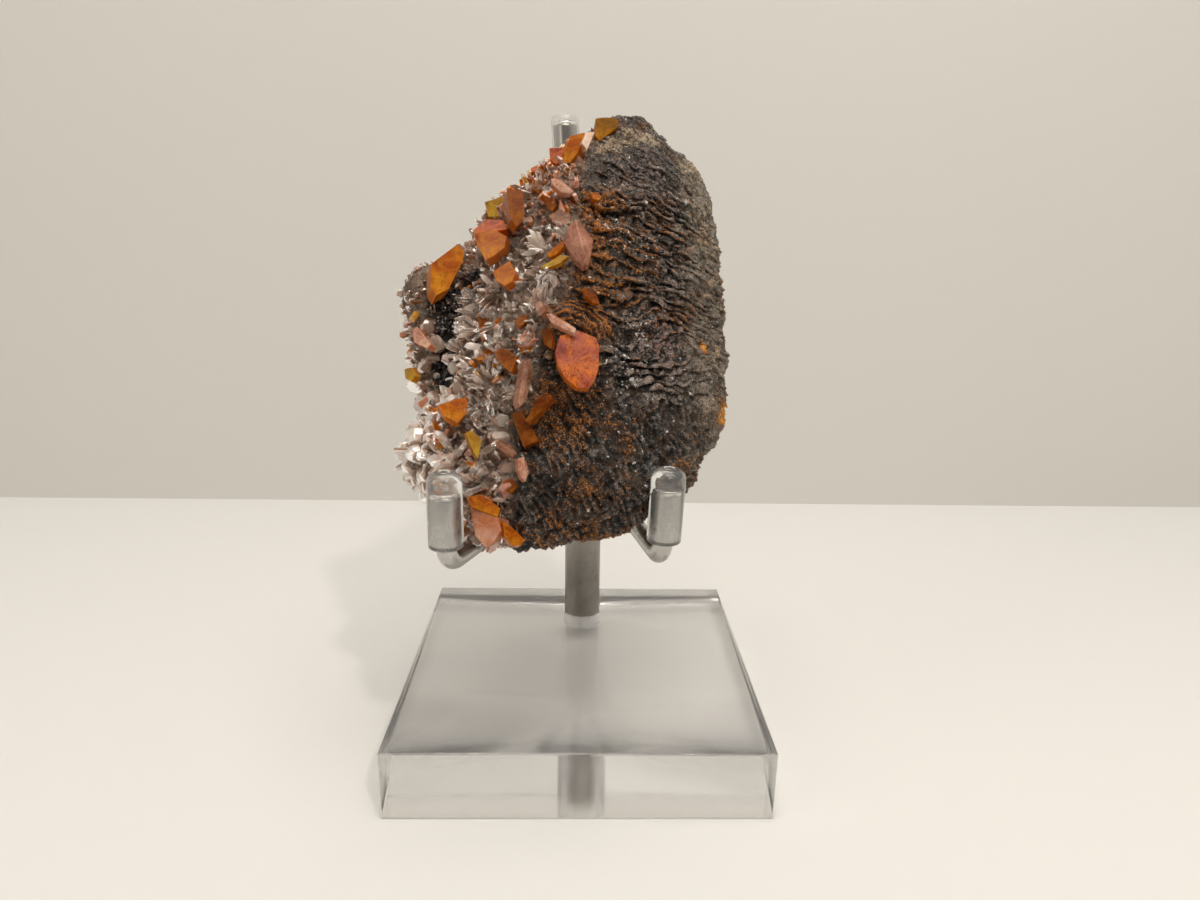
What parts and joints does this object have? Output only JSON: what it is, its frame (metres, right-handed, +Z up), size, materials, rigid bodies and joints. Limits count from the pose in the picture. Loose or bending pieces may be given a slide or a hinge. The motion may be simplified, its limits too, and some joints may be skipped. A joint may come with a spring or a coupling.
{
  "type": "wulfenite specimen on a three-arm display stand",
  "caption": "Domed dark rock crusted with orange wulfenite tablets and pale glassy crystals, leaning on the capped steel arms of a clear block stand.",
  "frame": {"origin": "centre of the block's underside, on the surface it stands on", "axes": "+Z up, -Y towards the side the crystals face, +X to the right seen from that side"},
  "size_m": [0.0514, 0.0526, 0.0906],
  "materials": {
    "acrylic": "clear polished acrylic with flame-bright edges",
    "steel": "satin drawn steel",
    "clear_vinyl": "soft clear vinyl, glossy",
    "rock": "matte charcoal rock with rusty ribs and small sparkles",
    "pale_crystal": "pale translucent glassy crust",
    "wulfenite": "translucent orange crystal with frosted pinkish faces"
  },
  "bodies": {
    "root": {"base_block": "acrylic", "post": "steel", "arm_front_left": "steel", "arm_front_right": "steel", "arm_back": "steel", "tip_front_left": "clear_vinyl", "tip_front_right": "clear_vinyl", "tip_back": "clear_vinyl", "matrix": "rock", "pale_crust": "pale_crystal", "wulfenite_amber": "wulfenite", "wulfenite_amber_wedge": "wulfenite", "wulfenite_bipyramid": "wulfenite", "wulfenite_brown_plate": "wulfenite", "wulfenite_brown_window": "wulfenite", "wulfenite_curved_blade": "wulfenite", "wulfenite_fan": "wulfenite", "wulfenite_left_block": "wulfenite", "wulfenite_lens": "wulfenite", "wulfenite_low_pair": "wulfenite", "wulfenite_middle_orange": "wulfenite", "wulfenite_olive": "wulfenite", "wulfenite_pink_blade": "wulfenite", "wulfenite_pink_brown_blade": "wulfenite", "wulfenite_plate": "wulfenite", "wulfenite_rim_pink": "wulfenite", "wulfenite_small_tip": "wulfenite", "wulfenite_tall_brown": "wulfenite", "wulfenite_top_pair": "wulfenite", "wulfenite_upper_orange": "wulfenite", "wulfenite_upright_edge": "wulfenite"}
  },
  "joints": []
}
